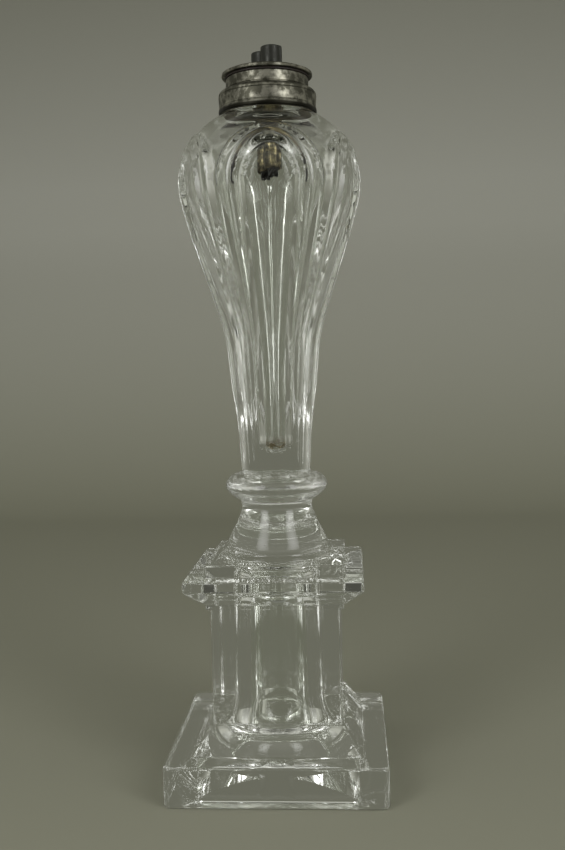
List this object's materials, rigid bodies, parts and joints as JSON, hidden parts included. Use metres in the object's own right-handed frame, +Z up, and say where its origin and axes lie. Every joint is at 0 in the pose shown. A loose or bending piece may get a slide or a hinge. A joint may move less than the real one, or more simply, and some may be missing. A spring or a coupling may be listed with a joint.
{
  "type": "glass table lamp with two-tube screw burner",
  "caption": "Pressed glass table lamp on a square pedestal, with a looped font, pewter collar and a screw-in burner with a pair of wick tubes.",
  "frame": {"origin": "centre of the underside of the square foot, on the surface it stands on", "axes": "+Z up along the axis of the lamp, -Y the side that faces the camera, +X to its right"},
  "size_m": [0.076, 0.076, 0.2583],
  "materials": {
    "clear_glass": "fire-polished clear flint glass",
    "plaster": "matte plaster",
    "pewter": "dark tarnished pewter, turned and worn",
    "leather": "oil-blackened leather",
    "solder": "dull soft solder",
    "tube_metal": "sooty and mottled sheet metal",
    "wick": "charred cotton"
  },
  "bodies": {
    "root": {"pedestal_base": "clear_glass", "joining_wafer": "clear_glass", "font": "clear_glass", "collar_cement": "plaster", "collar": "pewter"},
    "washer": {"leather_washer": "leather"},
    "burner": {"burner_cap": "pewter", "tube_solder": "solder", "wick_tube_front": "tube_metal", "wick_tube_rear": "tube_metal"},
    "front_wick": {"wick_front": "wick"},
    "rear_wick": {"wick_rear": "wick"}
  },
  "joints": [
    {"name": "burner_lift", "type": "slide", "parent": "root", "child": "washer", "axis": [0, 0, 1], "range_m": [0, 0.0054]},
    {"name": "burner_turn", "type": "hinge", "parent": "washer", "child": "burner", "pos_m": [0, 0, 0.2484], "axis": [0, 0, 1], "range_deg": [0, 1080]},
    {"name": "front_wick_slide", "type": "slide", "parent": "burner", "child": "front_wick", "axis": [0, 0, 1], "range_m": [-0.003, 0.006]},
    {"name": "rear_wick_slide", "type": "slide", "parent": "burner", "child": "rear_wick", "axis": [0, 0, 1], "range_m": [-0.003, 0.006]}
  ],
  "couplings": [
    {"joint": "burner_lift", "follows": "burner_turn", "m_per_rad": 0.00028648}
  ]
}
